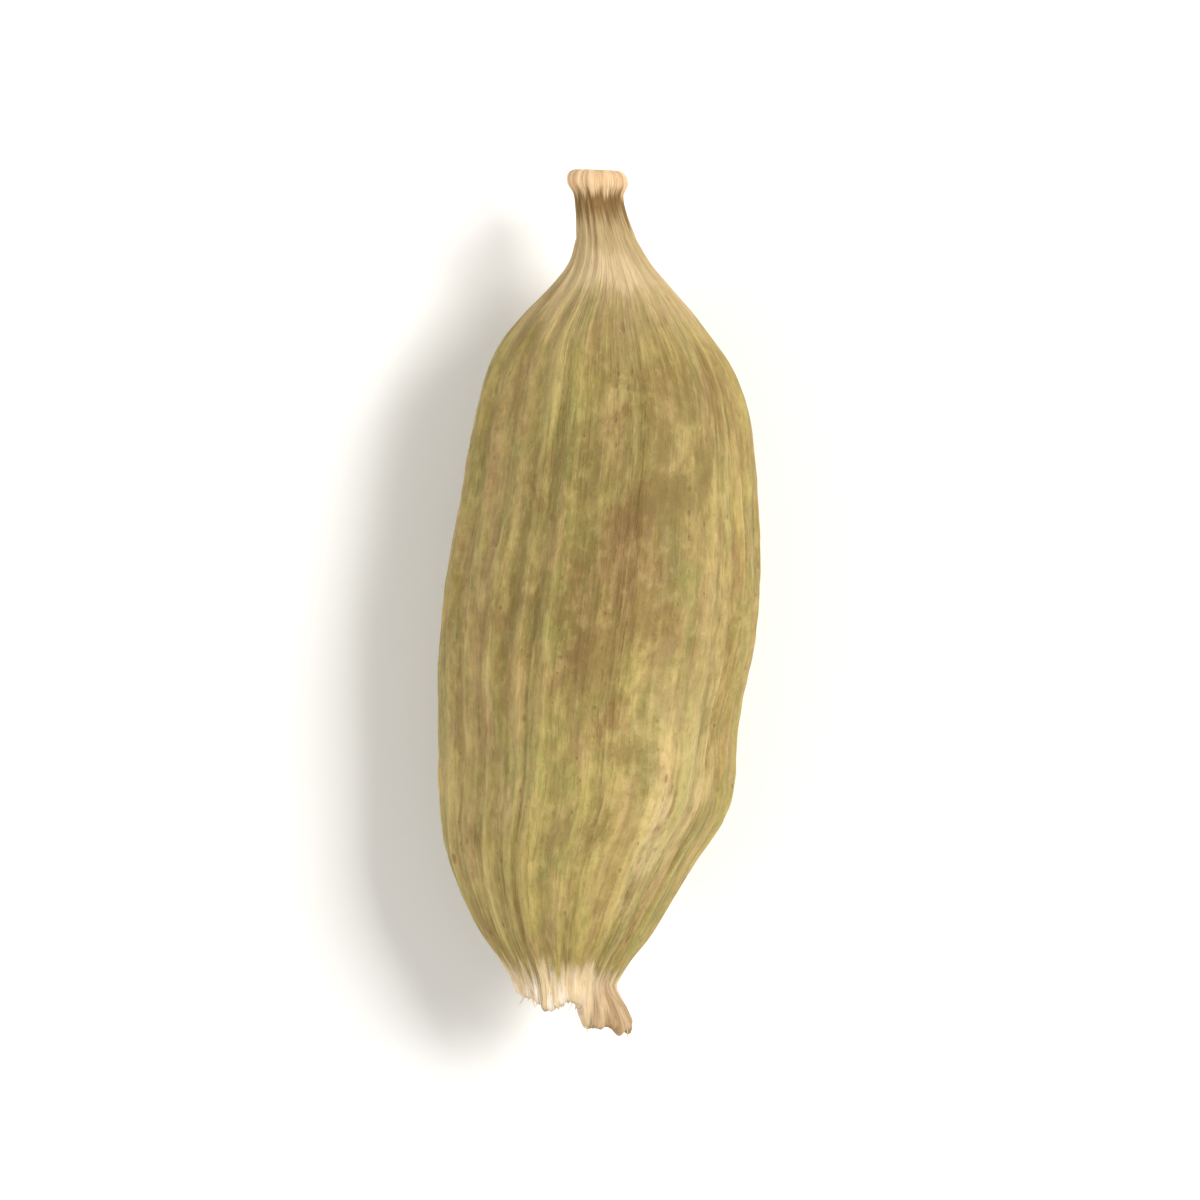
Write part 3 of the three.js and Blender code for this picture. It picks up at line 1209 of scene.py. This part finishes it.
    collar_flake: Tint = Tint(peach, at=0.0, turn=64, length=0.8, width=2.1, share=1.0)
    collar_streaks: Layer = Layer(Mark.STREAK, neck_pale, 0.45, rise=(0.45, 0.1))
    neck_band: Band = Band(start=13.4, full=15.6, ragged=1.0, share=0.7)
    neck_light: Tint = Tint(
        (0.80, 0.62, 0.38, 1), at=15.25, turn=-6, length=0.36, width=3.0, share=0.42
    )
    under_cap_band: Band = Band(start=16.05, full=16.55, ragged=0.5, share=0.92)
    cap_band: Band = Band(start=16.7, full=16.98, ragged=0.22)
    cap_streaks: Layer = Layer(Mark.STREAK, cap_pink, rise=(0.7, 0.2))
    end_edges: tuple[tuple[Mark, float], ...] = ((Mark.CLOUD, 0.8), (Mark.STREAK, 0.7))
    end_edges_middle: float = -0.75
    pit_shade_rise: tuple[float, float] = (0.02, 0.45)
    specular_level: float = 0.3
    roughness: float = 0.5
    rough_marks: tuple[tuple[Mark, float], ...] = ((Mark.MOTTLE, 0.1), (Mark.GRIT, 0.16))
    relief_marks: tuple[tuple[Mark, float], ...] = (
        (Mark.STREAK, 0.7), (Mark.HAIR, 0.45), (Mark.CREASES, 0.4), (Mark.GRIT, 0.45),
        (Mark.SPECKS, -0.5), (Mark.PORES, -0.5),
    )
    relief_height: float = 0.04
    relief_strength: float = 0.8

    def body_colour(self, surface: Surface) -> Socket:
        """Work out the husk's colour away from its two ends, painted shade and highlights included.

        Args:
            surface: What the finish reads.

        Returns:
            The colour.
        """
        colour = surface.w.mix(surface.marks[Mark.BROAD], self.olive, self.sage)
        for tint in self.tints:
            colour = tint.over(surface, colour, Mark.CLOUD)
        for layer in self.skin:
            colour = layer.over(surface, colour)
        for late_patch in self.stains_and_painted_glints:
            colour = late_patch.over(surface, colour, Mark.MOTTLE)
        for layer in self.spots:
            colour = layer.over(surface, colour)
        return colour

    def end_colour(self, surface: Surface, colour: Socket) -> Socket:
        """Add the pale collar, the painted shade deepening into its pit, the brown neck, the beak's
        pale tip and the dark scar on its end.

        Args:
            surface: What the finish reads.
            colour: The husk's colour away from its ends.

        Returns:
            The colour.
        """
        w = surface.w
        uneven = surface.sum(self.end_edges, self.end_edges_middle)
        pale = self.collar_chalk.over(surface, self.cream)
        pale = self.collar_flake.over(surface, pale, Mark.CLOUD)
        pale = self.collar_streaks.over(surface, pale)
        colour = self.collar_band.over(surface, colour, pale, uneven)
        colour = self.neck_band.over(surface, colour, self.neck_pale, uneven)
        colour = self.neck_light.over(surface, colour, Mark.CLOUD)
        colour = self.under_cap_band.over(surface, colour, self.neck_brown, uneven)
        cap = self.cap_streaks.over(surface, self.cap_pale)
        colour = self.cap_band.over(surface, colour, cap, uneven)
        # Painted shade deepening into the collar's pit, and the dark scar in the middle of the
        # beak's end.
        depth = w.rise(surface.marks[Mark.ALONG], *self.pit_shade_rise)
        return w.mix(w.calc("MULTIPLY", surface.marks[Mark.PIT], depth), colour, self.pit_shade_and_scar_brown)

    def make(self, form: PodForm, effects: EffectGroups) -> bpy.types.Material:
        """Make the material.

        Args:
            form: The pod's form.
            effects: The shared effects.

        Returns:
            The material.
        """
        material, w, shader = start_material("dry green husk", self.specular_level)
        surface = Surface.read(w, form, effects)
        colour = self.end_colour(surface, self.body_colour(surface))
        bump = w.node("ShaderNodeBump", {
            "Height": surface.sum(self.relief_marks, 0.0), "Strength": self.relief_strength,
            "Distance": self.relief_height * MM,
        })
        w.feed(shader.inputs["Base Color"], colour)
        w.feed(shader.inputs["Roughness"], surface.sum(self.rough_marks, self.roughness))
        w.feed(shader.inputs["Normal"], bump.outputs[0])
        return material


@dataclass(frozen=True)
class FloorFinish:
    """Smooth white table with a barely visible mottling."""

    white: Colour = (0.90, 0.90, 0.895, 1)
    soft: Colour = (0.885, 0.885, 0.88, 1)
    mottle_scale: float = 60.0
    roughness: float = 0.8
    specular_level: float = 0.2

    def make(self) -> bpy.types.Material:
        """Return the finish as a material."""
        material, w, shader = start_material("white table", self.specular_level)
        place = w.node("ShaderNodeTexCoord").outputs["Object"]
        cloud = w.node(
            "ShaderNodeTexNoise", {"Vector": place, "Scale": self.mottle_scale, "Detail": 3.0}
        )
        w.feed(shader.inputs["Base Color"], w.mix(cloud.outputs[0], self.white, self.soft))
        w.feed(shader.inputs["Roughness"], self.roughness)
        return material


@dataclass(frozen=True)
class SoftLight:
    """One square soft light that faces the pod, in metres and watts."""

    name: str
    place: tuple[float, float, float]
    size: float
    power: float
    colour: tuple[float, float, float]

    def hang(self) -> None:
        """Hang the light."""
        data = bpy.data.lights.new(self.name, "AREA")
        data.shape = "SQUARE"
        data.size = self.size
        data.energy = self.power
        data.color = self.colour
        light = bpy.data.objects.new(self.name, data)
        light.location = self.place
        light.rotation_euler = (-Vector(self.place)).to_track_quat("-Z", "Y").to_euler()
        bpy.context.scene.collection.objects.link(light)


@dataclass(frozen=True)
class Studio:
    """The floor, the soft lights and the camera straight above the pod, in metres."""

    floor_size: float = 1.2
    view_width: float = 0.0246
    camera_height: float = 0.4
    camera_near: float = 0.01
    camera_far: float = 5.0
    sensor: float = 36.0
    pod_lean: float = 2.4
    room_colour: Colour = (1.0, 0.99, 0.97, 1)
    room_light: float = 0.44
    lights: tuple[SoftLight, ...] = (
        SoftLight("window", (0.14, -0.37, 0.44), size=0.28, power=3.95, colour=(1.0, 0.985, 0.95)),
        SoftLight("bounce", (-0.2, 0.5, 0.35), size=0.4, power=2.25, colour=(1.0, 0.975, 0.92)),
    )

    def lay_floor(self) -> None:
        """Lay the floor under the pod."""
        shape = bmesh.new()
        bmesh.ops.create_grid(shape, x_segments=2, y_segments=2, size=self.floor_size / 2)
        mesh = bpy.data.meshes.new("floor")
        shape.to_mesh(mesh)
        shape.free()
        mesh.materials.append(FloorFinish().make())
        floor = bpy.data.objects.new("floor", mesh)
        bpy.context.scene.collection.objects.link(floor)

    def light_room(self) -> None:
        """Fill the room with even light."""
        world = bpy.data.worlds.new("room")
        world.use_nodes = True
        background = world.node_tree.nodes["Background"]
        background.inputs["Color"].default_value = self.room_colour
        background.inputs["Strength"].default_value = self.room_light
        bpy.context.scene.world = world

    def hang_camera(self, target: Vector) -> None:
        """Hang the camera straight above a point, with the beak up and leaning a little right.

        Args:
            target: The point.
        """
        data = bpy.data.cameras.new("camera")
        data.sensor_width = self.sensor
        data.lens = self.sensor * self.camera_height / self.view_width
        data.clip_start = self.camera_near
        data.clip_end = self.camera_far
        camera = bpy.data.objects.new("camera", data)
        camera.location = target + Vector((0, 0, self.camera_height))
        camera.rotation_euler = (0, 0, math.radians(self.pod_lean - 90))
        bpy.context.scene.collection.objects.link(camera)
        bpy.context.scene.camera = camera

    def build(self) -> None:
        """Set up the whole studio."""
        low, high = CAD_BOUNDS
        self.hang_camera((low + high) / 2)
        self.lay_floor()
        self.light_room()
        for light in self.lights:
            light.hang()
        bpy.context.scene.view_settings.view_transform = "Standard"
        LOG.info("studio: floor, %d soft lights and the camera", len(self.lights))


def main() -> None:
    """Build the pod and the studio."""
    logging.basicConfig(level=logging.INFO, format="%(name)s: %(message)s")
    form = PodForm()
    husk_material = HuskFinish().make(form, EffectGroups())
    shift = Husk(form).build(husk_material)
    RimFibres(form).build(husk_material, shift)
    Studio().build()


if __name__ == "__main__":
    main()
